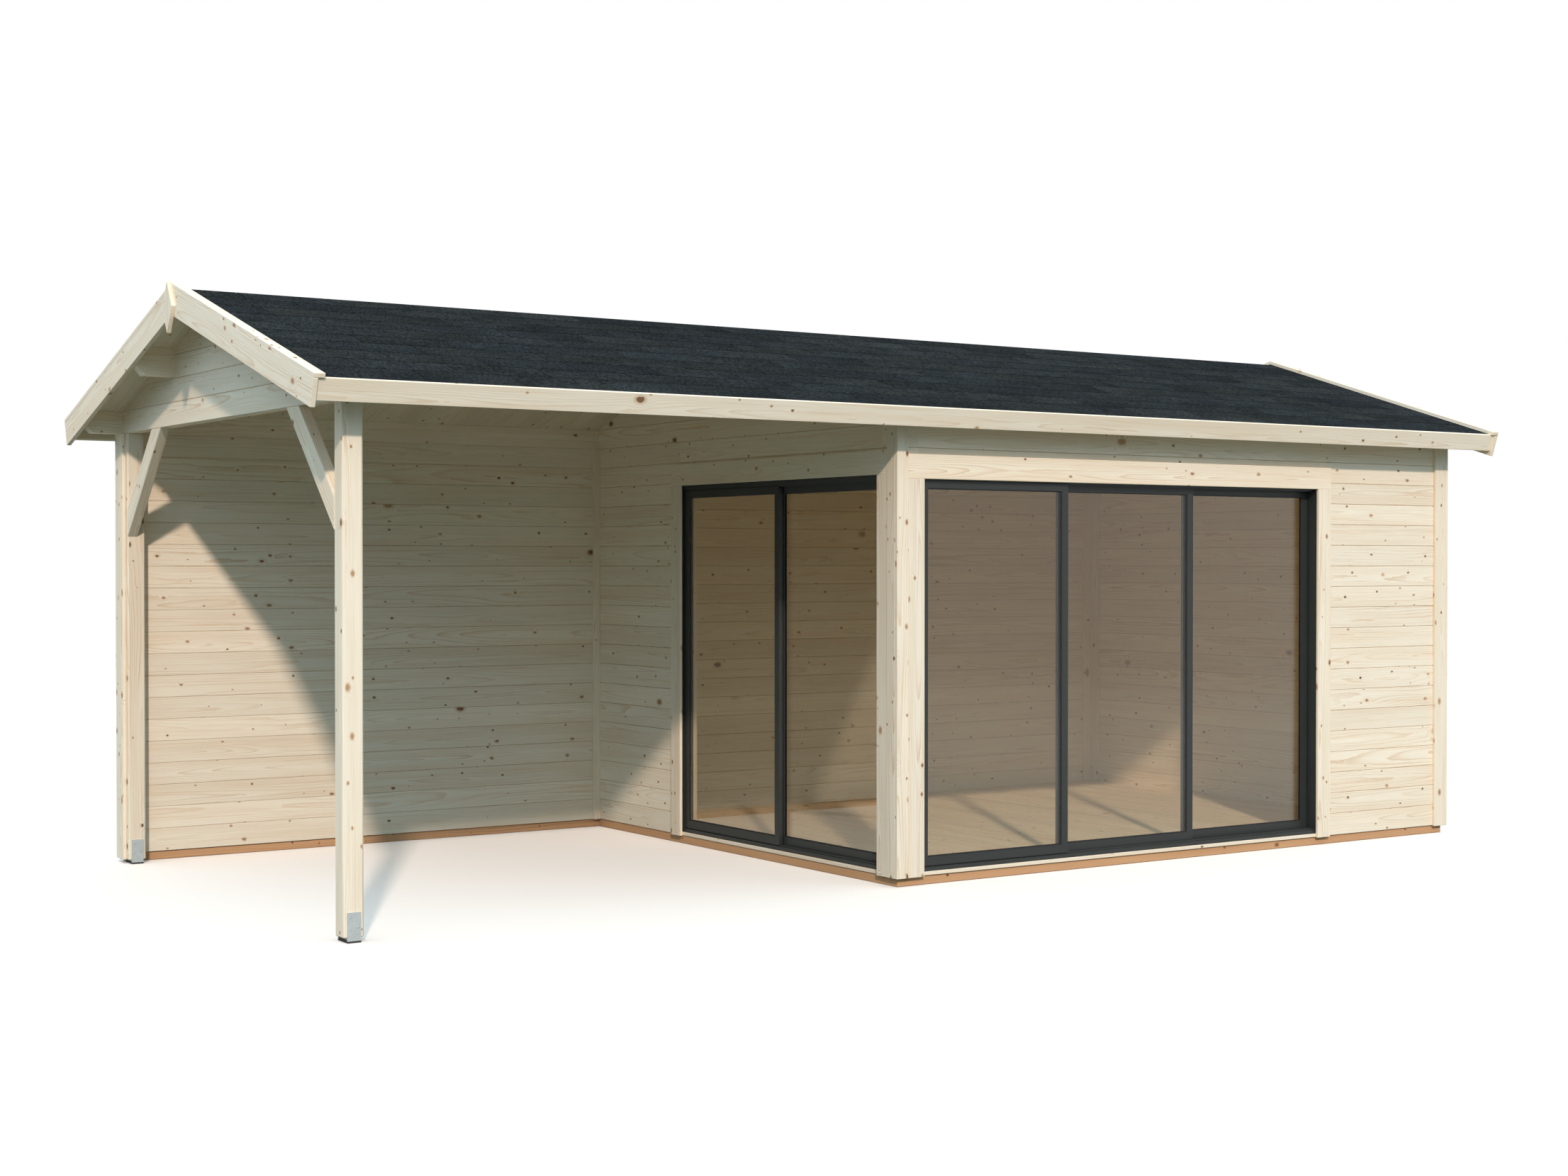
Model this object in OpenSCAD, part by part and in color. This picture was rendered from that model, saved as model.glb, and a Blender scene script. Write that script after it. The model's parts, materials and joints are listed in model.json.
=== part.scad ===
// Wooden garden house: a closed room with sliding glass doors beside an open corner terrace,
// both under one saddle roof. Millimetres, +X along the front, +Y to the back, +Z up.
// The origin is on the ground, under the middle of the roof.

/* [Plan] */
// Length of the room, outside to outside of its foundation beams
room_l = 3890; // [3300:10:5000]
// Length of the open terrace, from the room's foundation to the outside of the posts
terrace_l = 2810; // [2000:10:4000]
// Depth, outside to outside of the foundation beams
depth = 2990; // [2700:10:3800]

/* [Foundation and floor] */
// Width of the foundation beams
beam_w = 50; // [40:1:90]
// Height of the foundation beams
beam_h = 45; // [35:1:90]
// Width of a floor joist
joist_w = 45; // [35:1:70]
// Number of floor joists
joist_count = 5; // [3:1:8]
// Thickness of the floor boards and of the sill boards below the doors
floor_t = 18; // [16:1:28]

/* [Walls] */
// Thickness of the wall boards
wall_t = 70; // [44:1:90]
// Visible height of one wall board
course_h = 114; // [108:1:150]
// Number of board courses below the wall plates
courses = 19; // [18:1:22]
// Extra height of the lowest board, at its foot
foot_h = 5; // [0:1:10]
// How far the front and back walls stand out over their foundation beams
wall_over_y = 10; // [0:1:15]
// How far the side walls stand out over their foundation beams
wall_over_x = 5; // [0:1:15]
// Depth of the V-joint between two boards
joint_d = 4; // [2:1:8]
// Height of the wall plates at the outer face, under the roof
plate_h = 91; // [60:1:140]

/* [Roof] */
// Pitch of the roof, degrees
roof_pitch = 17.2; // [10:0.1:28]
// Thickness of the roof boards
roof_board_t = 28; // [18:1:40]
// Thickness of the roofing
roofing_t = 6; // [3:1:12]
// How far the eaves stand out, from the foundation to the outside of the fascia
eave_over = 215; // [120:5:500]
// How far the verges stand out, from the foundation to the outside of the barge boards
verge_over = 210; // [120:5:500]
// Thickness of the fascia boards
fascia_t = 19; // [16:1:30]
// Height of the fascia boards
fascia_h = 90; // [70:1:140]
// Thickness of the barge boards
barge_t = 22; // [16:1:30]
// Width of the barge boards
barge_w = 120; // [90:1:180]
// How far the barge boards run past the fascia
barge_nose = 10; // [4:1:40]
// Width of the cap strips on the verges
cap_w = 50; // [40:1:100]
// Thickness of the cap strips
cap_t = 20; // [12:1:28]
// Distance of the middle purlins' centres from the ridge
purlin_y = 625; // [400:5:800]
// How far the undersides of the purlins lie above the board joint
purlin_lift = 8; // [0:1:20]
// Least height of a purlin at its lower side
purlin_min_h = 60; // [40:5:100]
// Slope cut below the free ends of plates and purlins
end_cut = 40; // [10:1:80]
// Height of the diamonds at the roof's two peaks
diamond_h = 238; // [160:2:300]
// Width of the diamonds
diamond_w = 132; // [80:2:180]
// Thickness of the diamonds
diamond_t = 20; // [12:1:30]
// How far the diamonds' tips stand above the cap strips
diamond_rise = 7; // [0:1:20]

/* [Terrace posts] */
// Width of a square post
post_w = 90; // [80:1:140]
// Height of the post's foot above the ground
post_z = 20; // [15:1:60]
// How far the front post stands back from the wall face
post_inset = 2; // [0:1:20]
// Gap between the back post and the terrace wall, for the bracket
post_gap = 6; // [5:1:30]
// Width of a steel post bracket
bracket_w = 60; // [40:1:80]
// Thickness of its steel
bracket_t = 4; // [3:0.5:5]
// Height of its straps
bracket_h = 125; // [80:1:200]
// Thickness of a brace
brace_t = 50; // [40:1:90]
// Width of a brace
brace_w = 100; // [80:1:120]
// Distance from the post to the inner side of the brace, along the gable
brace_reach = 391; // [250:1:600]
// How far the trim on the terrace wall's end stands out past the posts
end_stand = 4; // [0:1:12]

/* [Trim] */
// Thickness of the casings and trims
trim_t = 17; // [12:1:25]
// Width of the door casings
casing_w = 98; // [70:1:120]
// Height of the head boards over the doors
head_w = 118; // [90:1:140]
// How far a side casing laps over the door frame
casing_lap = 25; // [10:1:60]
// How far the front head board laps down over the door frame
front_head_lap = 37; // [5:1:38]
// How far the side head board laps down over the door frame
side_head_lap = 15; // [5:1:38]
// Thickness of the corner post's two legs
corner_t = 19; // [14:1:28]
// Width of the corner post's front leg
corner_front_w = 68; // [50:1:90]
// Width of the trims at the other corners
corner_trim_w = 88; // [70:1:120]
// Width of the batten in the terrace's inner corner
batten_w = 42; // [20:1:60]
// Thickness of the side door's casings inside the room
room_casing_t = 25; // [12:1:35]
// Widths of the two boards in the room's back right corner
room_trim_back_w = 77; // [40:1:120]
room_trim_side_w = 89; // [40:1:120]
// How far the casings and trims hang down over the foundation beam
trim_drop = 3; // [0:1:20]

/* [Sliding doors] */
// Distance from the room's foundation corner to each door frame
door_x = 117; // [110:1:140]
// Height of the door frames
frame_h = 1927; // [1850:1:1950]
// Width of a front door panel
front_panel_w = 929; // [700:1:1000]
// Width of a side door panel
side_panel_w = 939; // [700:1:1000]
// How far two neighbouring panels overlap
panel_overlap = 40; // [30:1:70]
// Thickness of a panel
panel_t = 22; // [20:1:30]
// Width of a panel's stiles
stile_w = 41; // [35:1:70]
// Height of a panel's top rail
top_rail = 35; // [30:1:60]
// Height of a panel's bottom rail
bottom_rail = 42; // [35:1:80]
// Thickness of the glass
glass_t = 8; // [4:1:12]
// Depth of the glass in its frame
rebate = 10; // [6:1:15]
// Thickness of the frame's jambs
jamb_t = 20; // [15:1:40]
// Height of the frame's sill
sill_h = 20; // [15:1:40]
// Height of the frame's head
head_h = 40; // [20:1:60]
// Edge of the frame outside the first and last track
frame_lip = 5; // [4:1:20]
// How far the front door frame stands back from the wall face
front_recess = 7; // [0:1:20]
// How far the side door frame stands back from the wall face
side_recess = 11; // [0:1:20]
// Free gap round a moving panel
slide_gap = 5; // [5:1:6]
// Width of a track rib
rib_w = 6; // [4:1:8]
// Height of a track rib
rib_h = 9; // [8:1:12]
// How deep a rib stands in the groove below a panel
rib_in = 3; // [2:1:4]

/* [Hidden] */
// Running gap, and gap between sloping faces
seat = 0.3;
// Overshoot of a cut past the face that it starts from
over = 1;

// Plan: the foundation runs from base_x0 to base_x1, and the room starts at room_x0
base_l = terrace_l + room_l;
base_x0 = -base_l / 2;
base_x1 = base_l / 2;
room_x0 = base_x0 + terrace_l;
base_y = depth / 2;

// Wall faces: outer faces of the room's left and right walls, and of the front and back walls
wall_x0 = room_x0 - wall_over_x;
wall_x1 = base_x1 + wall_over_x;
wall_y = base_y + wall_over_y;
in_x0 = wall_x0 + wall_t;
in_x1 = wall_x1 - wall_t;
in_y = wall_y - wall_t;
post_x = base_x0;
terrace_wall_x = post_x - end_stand + trim_t;

// Heights
joint_z = beam_h + foot_h;
plate_z = joint_z + courses * course_h;
floor_z = beam_h + floor_t;
trim_z = beam_h - trim_drop;

// Roof planes: heights at a distance y from the ridge
slope = tan(roof_pitch);
ridge_z = plate_z + plate_h + wall_y * slope;
boards_rise = roof_board_t / cos(roof_pitch);
roof_rise = (roof_board_t + roofing_t) / cos(roof_pitch);
roof_x = base_l / 2 + verge_over;
verge_x = roof_x - barge_t;
eave_y = base_y + eave_over;
function under_z(y) = ridge_z - abs(y) * slope;
function top_z(y) = ridge_z + roof_rise - abs(y) * slope;

// Purlins lie on a board joint of the gables, as high as the roof lets them
function purlin_z(y) =
    plate_z + purlin_lift
    + floor((under_z(y + wall_t / 2) - plate_z - purlin_min_h) / course_h) * course_h;
middle_purlin_z = purlin_z(purlin_y);
ridge_purlin_z = purlin_z(0);

// Sliding doors
track_pitch = panel_t + slide_gap;
panel_z = sill_h + rib_h - rib_in;
panel_h = frame_h - head_h - slide_gap - panel_z;
frame_top = floor_z + frame_h;
door_y = wall_y - front_recess;
side_door_x = wall_x0 + side_recess;
front_panels = 3;
side_panels = 2;
function frame_w(n, w) = 2 * (jamb_t + slide_gap) + n * w - (n - 1) * panel_overlap;
function frame_d(n) = 2 * frame_lip + n * track_pitch - slide_gap;
front_w = frame_w(front_panels, front_panel_w);
side_w = frame_w(side_panels, side_panel_w);
front_x0 = room_x0 + door_x;
front_x1 = front_x0 + front_w;
side_y0 = -base_y + door_x;
side_y1 = side_y0 + side_w;

// Colours
spruce = "#ead9b5";
treated = "#c98f5c";
felt = "#2b2f33";
anthracite = "#3c4041";
pane = [0.72, 0.76, 0.74, 0.4];
galvanised = "#9aa3a8";

// ---- Helpers ----

// Extrudes a section drawn in Y and Z along X, from x0 to x1
module along_x(x0, x1) {
    translate([x0, 0, 0])
        rotate([90, 0, 90])
            linear_extrude(x1 - x0)
                children();
}

// Extrudes a section drawn in X and Z along Y, from y0 to y1
module along_y(y0, y1) {
    translate([0, y1, 0])
        rotate([90, 0, 0])
            linear_extrude(y1 - y0)
                children();
}

// A block between two corners
module block(low, high) {
    translate(low)
        cube(high - low);
}

// Both the given piece and its mirror image on the other side of the ridge
module both_slopes() {
    children();
    mirror([0, 1, 0])
        children();
}

// Section of a wall of boards from u0 to u0 + wall_t, with V-joints on the side u = groove_u
module wall_section(u0, groove_u, z0, z1) {
    first = max(1, ceil((z0 + joint_d - joint_z) / course_h));
    last = floor((z1 - joint_d - joint_z) / course_h);
    difference() {
        translate([u0, z0])
            square([wall_t, z1 - z0]);
        for (i = [first:last])
            translate([groove_u, joint_z + i * course_h])
                rotate(45)
                    square(joint_d * sqrt(2), center = true);
    }
}

// Section of what lies under the roof, from one inner wall face to the other
module attic_section() {
    polygon([
        [-in_y, plate_z],
        [in_y, plate_z],
        [in_y, under_z(in_y) - seat],
        [0, ridge_z - seat],
        [-in_y, under_z(in_y) - seat],
    ]);
}

// Section of a timber with its top on the roof slope, from y0 to y1 on one side of the ridge
module rafter_seat_section(y0, y1, z0) {
    polygon([
        [y0, z0],
        [y1, z0],
        [y1, under_z(y1) - seat],
        [y0, under_z(y0) - seat],
    ]);
}

module middle_purlin_section() {
    rafter_seat_section(-purlin_y - wall_t / 2, -purlin_y + wall_t / 2, middle_purlin_z);
}

module ridge_purlin_section() {
    y = wall_t / 2;
    polygon([
        [-y, ridge_purlin_z],
        [y, ridge_purlin_z],
        [y, under_z(y) - seat],
        [0, ridge_z - seat],
        [-y, under_z(y) - seat],
    ]);
}

// Slope cuts below the two ends of a timber that runs from verge to verge
module end_cuts(z) {
    for (side = [-1, 1])
        along_y(-wall_y - over, wall_y + over)
            polygon([
                [side * (verge_x - end_cut), z - over],
                [side * (verge_x - end_cut), z],
                [side * verge_x, z + end_cut],
                [side * (verge_x + over), z + end_cut],
                [side * (verge_x + over), z - over],
            ]);
}

// Section of a layer on the front slope, from height a to height b above the boards' underside
module layer_section(a, b, y_end) {
    polygon([
        [0, ridge_z + a],
        [0, ridge_z + b],
        [-y_end, under_z(y_end) + b],
        [-y_end, under_z(y_end) + a],
    ]);
}

// Section of a board that hangs from the roof's top plane on the front slope and ends square
module verge_section(rise, width, y_end) {
    top = rise / cos(roof_pitch);
    drop = width / cos(roof_pitch);
    polygon([
        [0, top_z(0) + top],
        [-y_end, top_z(y_end) + top],
        [-y_end + width * sin(roof_pitch), top_z(y_end) + top - width * cos(roof_pitch)],
        [0, top_z(0) + top - drop],
    ]);
}

// Section of the opening in a gable for a purlin at y, cut from its underside up to the roof
module purlin_slot_section(y) {
    z = purlin_z(abs(y));
    translate([y - wall_t / 2, z])
        square([wall_t, ridge_z - z + over]);
}

// A gable of boards between the roof and the plates, slotted for the purlins
module gable(x0, groove_x) {
    difference() {
        intersection() {
            along_y(-in_y, in_y)
                wall_section(x0, groove_x, plate_z, ridge_z);
            along_x(x0 - over, x0 + wall_t + over)
                attic_section();
        }
        along_x(x0 - over, x0 + wall_t + over)
            for (y = [-purlin_y, 0, purlin_y])
                purlin_slot_section(y);
    }
}

// ---- Foundation and floor ----

module foundation_long_beams() {
    color(treated) {
        block([room_x0, -base_y, 0], [base_x1, -base_y + beam_w, beam_h]);
        block([terrace_wall_x + wall_over_x, base_y - beam_w, 0], [base_x1, base_y, beam_h]);
    }
}

module foundation_cross_beams() {
    y = base_y - beam_w;
    color(treated) {
        block([room_x0, -y, 0], [room_x0 + beam_w, y, beam_h]);
        block([base_x1 - beam_w, -y, 0], [base_x1, y, beam_h]);
    }
}

module floor_joists() {
    clear = 2 * (base_y - beam_w);
    step = clear / (joist_count + 1);
    color(treated)
        for (i = [1:joist_count])
            translate([0, -clear / 2 + i * step, 0])
                block([room_x0 + beam_w, -joist_w / 2, 0], [base_x1 - beam_w, joist_w / 2, beam_h]);
}

module floor_boards() {
    color(spruce)
        block([in_x0, -in_y, beam_h], [in_x1, in_y, floor_z]);
}

// ---- Walls ----

module back_wall() {
    color(spruce)
        along_x(terrace_wall_x, wall_x1)
            wall_section(in_y, wall_y, beam_h, plate_z);
}

module right_wall() {
    color(spruce)
        along_y(-in_y, in_y)
            wall_section(in_x1, wall_x1, beam_h, plate_z);
}

// The short ends of the front and return walls, which meet at the room's free corner
module corner_wall() {
    color(spruce) {
        along_x(wall_x0, front_x0)
            wall_section(-wall_y, -wall_y, beam_h, plate_z);
        along_y(-in_y, side_y0)
            wall_section(wall_x0, wall_x0, beam_h, plate_z);
    }
}

module front_wall_head() {
    color(spruce)
        along_x(front_x0, front_x1)
            wall_section(-wall_y, -wall_y, frame_top, plate_z);
}

module front_wall_right() {
    color(spruce)
        along_x(front_x1, wall_x1)
            wall_section(-wall_y, -wall_y, beam_h, plate_z);
}

module return_wall_head() {
    color(spruce)
        along_y(side_y0, side_y1)
            wall_section(wall_x0, wall_x0, frame_top, plate_z);
}

module return_wall_far() {
    color(spruce)
        along_y(side_y1, in_y)
            wall_section(wall_x0, wall_x0, beam_h, plate_z);
}

module left_gable() {
    color(spruce)
        gable(post_x, post_x);
}

module return_gable() {
    color(spruce)
        gable(wall_x0, wall_x0);
}

module right_gable() {
    color(spruce)
        gable(in_x1, wall_x1);
}

// ---- Roof timbers ----

module wall_plates() {
    color(spruce)
        difference() {
            both_slopes()
                along_x(-verge_x, verge_x)
                    rafter_seat_section(-wall_y, -in_y, plate_z);
            end_cuts(plate_z);
        }
}

module middle_purlins() {
    color(spruce)
        difference() {
            both_slopes()
                along_x(-verge_x, verge_x)
                    middle_purlin_section();
            end_cuts(middle_purlin_z);
        }
}

module ridge_purlin() {
    color(spruce)
        difference() {
            along_x(-verge_x, verge_x)
                ridge_purlin_section();
            end_cuts(ridge_purlin_z);
        }
}

// ---- Terrace ----

front_post_y = -wall_y + post_inset;
back_post_y = in_y - post_gap - post_w;

module terrace_posts() {
    color(spruce)
        for (y = [front_post_y, back_post_y])
            block([post_x, y, post_z], [post_x + post_w, y + post_w, plate_z]);
}

// An H-shaped bracket: two straps on the post's faces, and a plate that carries its foot
module post_bracket(y) {
    x = post_x + (post_w - bracket_w) / 2;
    block([x, y - bracket_t, 0], [x + bracket_w, y, bracket_h]);
    block([x, y + post_w, 0], [x + bracket_w, y + post_w + bracket_t, bracket_h]);
    block([x, y, post_z - bracket_t], [x + bracket_w, y + post_w, post_z]);
}

module post_brackets() {
    color(galvanised)
        for (y = [front_post_y, back_post_y])
            post_bracket(y);
}

// A diagonal brace from a post's face up to the gable; along is its run from the post, +1 or -1
module brace(y, along) {
    run = brace_w * sqrt(2);
    far = brace_reach + run;
    along_x(post_x, post_x + brace_t)
        polygon([
            [y, plate_z - far],
            [y, plate_z - brace_reach],
            [y + along * brace_reach, plate_z],
            [y + along * far, plate_z],
        ]);
}

module post_braces() {
    color(spruce) {
        brace(front_post_y + post_w, 1);
        brace(back_post_y, -1);
    }
}

// ---- Roof ----

module front_roof_boards() {
    color(spruce)
        along_x(-verge_x, verge_x)
            layer_section(0, boards_rise, eave_y - fascia_t);
}

module back_roof_boards() {
    mirror([0, 1, 0])
        front_roof_boards();
}

module front_roofing() {
    color(felt)
        along_x(-verge_x, verge_x)
            layer_section(boards_rise + seat, roof_rise, eave_y - fascia_t);
}

module back_roofing() {
    mirror([0, 1, 0])
        front_roofing();
}

module fascia_boards() {
    top = top_z(eave_y);
    color(spruce)
        both_slopes()
            block([-verge_x, -eave_y, top - fascia_h], [verge_x, -eave_y + fascia_t, top]);
}

module front_barge_boards() {
    color(spruce)
        for (x = [-roof_x, verge_x])
            along_x(x, x + barge_t)
                verge_section(0, barge_w, eave_y + barge_nose);
}

module back_barge_boards() {
    mirror([0, 1, 0])
        front_barge_boards();
}

module front_cap_strips() {
    color(spruce)
        for (x = [-roof_x, roof_x - cap_w])
            along_x(x, x + cap_w)
                verge_section(cap_t + seat, cap_t, eave_y + barge_nose + cap_t * sin(roof_pitch));
}

module back_cap_strips() {
    mirror([0, 1, 0])
        front_cap_strips();
}

module diamond_section() {
    peak = top_z(0) + cap_t / cos(roof_pitch) + diamond_rise;
    middle = peak - diamond_h / 2;
    polygon([
        [0, peak],
        [-diamond_w / 2, middle],
        [0, peak - diamond_h],
        [diamond_w / 2, middle],
    ]);
}

module peak_diamonds() {
    color(spruce)
        for (x = [-roof_x - diamond_t, roof_x])
            along_x(x, x + diamond_t)
                diamond_section();
}

// ---- Trim ----

module corner_post() {
    x = wall_x0 - corner_t;
    y = -wall_y - corner_t;
    color(spruce) {
        block([x, y, trim_z], [x + corner_front_w, -wall_y, plate_z]);
        block([x, y, trim_z], [wall_x0, -in_y, plate_z]);
    }
}

// Two boards that cover one corner of the walls, drawn for the front right corner
module corner_boards(x) {
    block([x - corner_trim_w, -wall_y - trim_t, trim_z], [x + trim_t, -wall_y, plate_z]);
    block([x, -wall_y - trim_t, trim_z], [x + trim_t, -wall_y + corner_trim_w, plate_z]);
}

module corner_trims() {
    color(spruce) {
        both_slopes()
            corner_boards(wall_x1);
        block([terrace_wall_x - trim_t, in_y, trim_z], [terrace_wall_x, wall_y + trim_t, plate_z]);
        block(
            [terrace_wall_x - trim_t, wall_y, trim_z],
            [terrace_wall_x + corner_trim_w, wall_y + trim_t, plate_z]
        );
    }
}

module inner_corner_batten() {
    color(spruce)
        block([wall_x0 - batten_w, in_y - trim_t, beam_h], [wall_x0, in_y, plate_z]);
}

front_head_z = frame_top - front_head_lap;
side_head_z = frame_top - side_head_lap;

module door_side_casings() {
    y = -wall_y - trim_t;
    x = wall_x0 - trim_t;
    color(spruce) {
        block(
            [wall_x0 - corner_t + corner_front_w, y, trim_z],
            [front_x0 + casing_lap, -wall_y, front_head_z]
        );
        block(
            [front_x1 - casing_lap, y, trim_z],
            [front_x1 - casing_lap + casing_w, -wall_y, front_head_z]
        );
        block([x, -in_y, trim_z], [wall_x0, side_y0 + casing_lap, side_head_z]);
        block(
            [x, side_y1 - casing_lap, trim_z],
            [wall_x0, side_y1 - casing_lap + casing_w, side_head_z]
        );
    }
}

module door_head_boards() {
    color(spruce) {
        block(
            [wall_x0 - corner_t + corner_front_w, -wall_y - trim_t, front_head_z],
            [front_x1 - casing_lap + casing_w, -wall_y, front_head_z + head_w]
        );
        block(
            [wall_x0 - trim_t, -in_y, side_head_z],
            [wall_x0, side_y1 - casing_lap + casing_w, side_head_z + head_w]
        );
    }
}

module door_sill_boards() {
    color(spruce) {
        block([front_x0, -wall_y, beam_h], [front_x1, -in_y, floor_z]);
        block([wall_x0, side_y0, beam_h], [in_x0, side_y1, floor_z]);
    }
}

// A casing inside the room, on the side door's frame and the wall beside it
module room_casing(y0, y1) {
    block([in_x0, y0, floor_z], [in_x0 + room_casing_t, y1, side_head_z]);
}

module room_trims() {
    color(spruce) {
        room_casing(-in_y, side_y0 + casing_lap);
        room_casing(side_y1 - casing_lap, side_y1 - casing_lap + casing_w);
        block([in_x1 - room_trim_back_w, in_y - trim_t, floor_z], [in_x1, in_y, plate_z]);
        block([in_x1 - trim_t, in_y - room_trim_side_w, floor_z], [in_x1, in_y - trim_t, plate_z]);
    }
}

// ---- Sliding doors ----
// A door is drawn in a frame of its own: X along the wall, Y into the room, Z up from its sill.

module at_front_door() {
    translate([front_x0, -door_y, floor_z])
        children();
}

module at_side_door() {
    translate([side_door_x, side_y0, floor_z])
        mirror([1, 0, 0])
            rotate([0, 0, 90])
                children();
}

function panel_x(place, w) = jamb_t + slide_gap + place * (w - panel_overlap);
function panel_y(track) = frame_lip + track * track_pitch;

// The frame: jambs, sill and head, with a rib below and above each track
module door_frame(n, w) {
    width = frame_w(n, w);
    d = frame_d(n);
    difference() {
        cube([width, d, frame_h]);
        block([jamb_t, -over, sill_h], [width - jamb_t, d + over, frame_h - head_h]);
    }
    for (track = [0:n - 1])
        translate([jamb_t, panel_y(track) + (panel_t - rib_w) / 2, 0]) {
            length = width - 2 * jamb_t;
            block([0, 0, sill_h], [length, rib_w, sill_h + rib_h]);
            block([0, 0, frame_h - head_h - rib_h], [length, rib_w, frame_h - head_h]);
        }
}

module glass_pane(w) {
    edge = stile_w - rebate;
    block(
        [edge, (panel_t - glass_t) / 2, bottom_rail - rebate],
        [w - edge, (panel_t + glass_t) / 2, panel_h - top_rail + rebate]
    );
}

// One panel's stiles and rails, grooved for the glass and for the ribs of its track
module panel_frame(w) {
    groove_w = rib_w + 2 * slide_gap;
    groove_y = (panel_t - groove_w) / 2;
    difference() {
        cube([w, panel_t, panel_h]);
        block([stile_w, -over, bottom_rail], [w - stile_w, panel_t + over, panel_h - top_rail]);
        glass_pane(w);
        block([-over, groove_y, -over], [w + over, groove_y + groove_w, rib_in + seat]);
        block([-over, groove_y, panel_h - rib_h], [w + over, groove_y + groove_w, panel_h + over]);
    }
}

// Places are counted along the door from its left, and tracks from the outside inwards
module on_track(place, track, w) {
    translate([panel_x(place, w), panel_y(track), panel_z])
        children();
}

module front_door_frame() {
    color(anthracite)
        at_front_door()
            door_frame(front_panels, front_panel_w);
}

module side_door_frame() {
    color(anthracite)
        at_side_door()
            door_frame(side_panels, side_panel_w);
}

module front_panel(place, track) {
    color(anthracite)
        at_front_door()
            on_track(place, track, front_panel_w)
                panel_frame(front_panel_w);
}

module front_glass(place, track) {
    color(pane)
        at_front_door()
            on_track(place, track, front_panel_w)
                glass_pane(front_panel_w);
}

module side_panel(place, track) {
    color(anthracite)
        at_side_door()
            on_track(place, track, side_panel_w)
                panel_frame(side_panel_w);
}

module side_glass(place, track) {
    color(pane)
        at_side_door()
            on_track(place, track, side_panel_w)
                glass_pane(side_panel_w);
}

module front_left_panel() { front_panel(0, 0); }
module front_left_glass() { front_glass(0, 0); }
module front_middle_panel() { front_panel(1, 1); }
module front_middle_glass() { front_glass(1, 1); }
module front_right_panel() { front_panel(2, 2); }
module front_right_glass() { front_glass(2, 2); }
module side_near_panel() { side_panel(0, 1); }
module side_near_glass() { side_glass(0, 1); }
module side_far_panel() { side_panel(1, 0); }
module side_far_glass() { side_glass(1, 0); }

foundation_long_beams();
foundation_cross_beams();
floor_joists();
floor_boards();
back_wall();
right_wall();
corner_wall();
front_wall_head();
front_wall_right();
return_wall_head();
return_wall_far();
left_gable();
return_gable();
right_gable();
wall_plates();
middle_purlins();
ridge_purlin();
terrace_posts();
post_brackets();
post_braces();
front_roof_boards();
back_roof_boards();
front_roofing();
back_roofing();
fascia_boards();
front_barge_boards();
back_barge_boards();
front_cap_strips();
back_cap_strips();
peak_diamonds();
corner_post();
corner_trims();
inner_corner_batten();
room_trims();
door_side_casings();
door_head_boards();
door_sill_boards();
front_door_frame();
side_door_frame();
front_left_panel();
front_left_glass();
front_middle_panel();
front_middle_glass();
front_right_panel();
front_right_glass();
side_near_panel();
side_near_glass();
side_far_panel();
side_far_glass();
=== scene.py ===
import json
import math

import bpy
import numpy as np
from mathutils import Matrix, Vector

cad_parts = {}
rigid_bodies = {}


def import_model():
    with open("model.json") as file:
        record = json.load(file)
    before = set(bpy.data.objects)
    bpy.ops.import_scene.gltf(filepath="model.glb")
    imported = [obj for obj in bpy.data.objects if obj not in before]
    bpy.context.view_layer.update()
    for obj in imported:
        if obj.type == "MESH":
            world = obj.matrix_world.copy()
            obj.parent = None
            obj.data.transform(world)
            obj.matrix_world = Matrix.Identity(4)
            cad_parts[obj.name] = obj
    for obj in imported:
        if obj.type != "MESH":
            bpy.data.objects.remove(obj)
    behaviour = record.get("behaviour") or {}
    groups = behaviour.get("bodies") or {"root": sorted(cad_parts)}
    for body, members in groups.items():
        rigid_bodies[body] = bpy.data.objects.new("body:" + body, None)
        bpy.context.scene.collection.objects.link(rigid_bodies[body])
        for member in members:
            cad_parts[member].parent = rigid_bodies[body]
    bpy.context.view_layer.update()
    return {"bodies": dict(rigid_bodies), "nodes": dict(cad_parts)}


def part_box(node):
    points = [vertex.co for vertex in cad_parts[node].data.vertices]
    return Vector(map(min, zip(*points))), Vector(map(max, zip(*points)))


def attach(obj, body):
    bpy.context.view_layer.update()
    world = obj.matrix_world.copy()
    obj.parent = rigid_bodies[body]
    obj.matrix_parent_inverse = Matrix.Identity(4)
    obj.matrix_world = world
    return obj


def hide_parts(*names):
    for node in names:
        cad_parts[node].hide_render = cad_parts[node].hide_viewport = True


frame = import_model()

# ---- Sizes of the boards, in metres; their places come from the frame's boxes ----

# Wall boards: the height that one covers, its thickness, and the joints at its outer and room face.
COURSE = 0.114
WALL_T = 0.070
WALL_JOINT = 0.0027
ROOM_JOINT = 0.0014
# Behind a joint a board's edge stands back by GAP, and over the next TONGUE of depth it steps out
# to TONGUE_LAP past the joint, so that neighbours lap.
GAP = 0.0008
TONGUE = 0.005
TONGUE_LAP = 0.0001
# The shortest and the lowest rest of a wall board that is made, and how far below the peak the
# gables stop.
LEAST_LENGTH = 0.012
LEAST_HEIGHT = 0.006
PEAK_CUT = 0.012

# Floor boards: about how wide they are, and the joints at their upper and under face.
FLOOR_BOARD_W = 0.096
FLOOR_JOINT = 0.0018
FLOOR_UNDER_JOINT = 0.0004

ROOF_PITCH = math.radians(17.2)
SLOPE = math.tan(ROOF_PITCH)
# Roof boards: about how wide they are, their thickness, their joint, and their play at the eave.
ROOF_BOARD_W = 0.096
ROOF_BOARD_T = 0.028
ROOF_JOINT = 0.0008
EAVE_PLAY = 0.001

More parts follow.
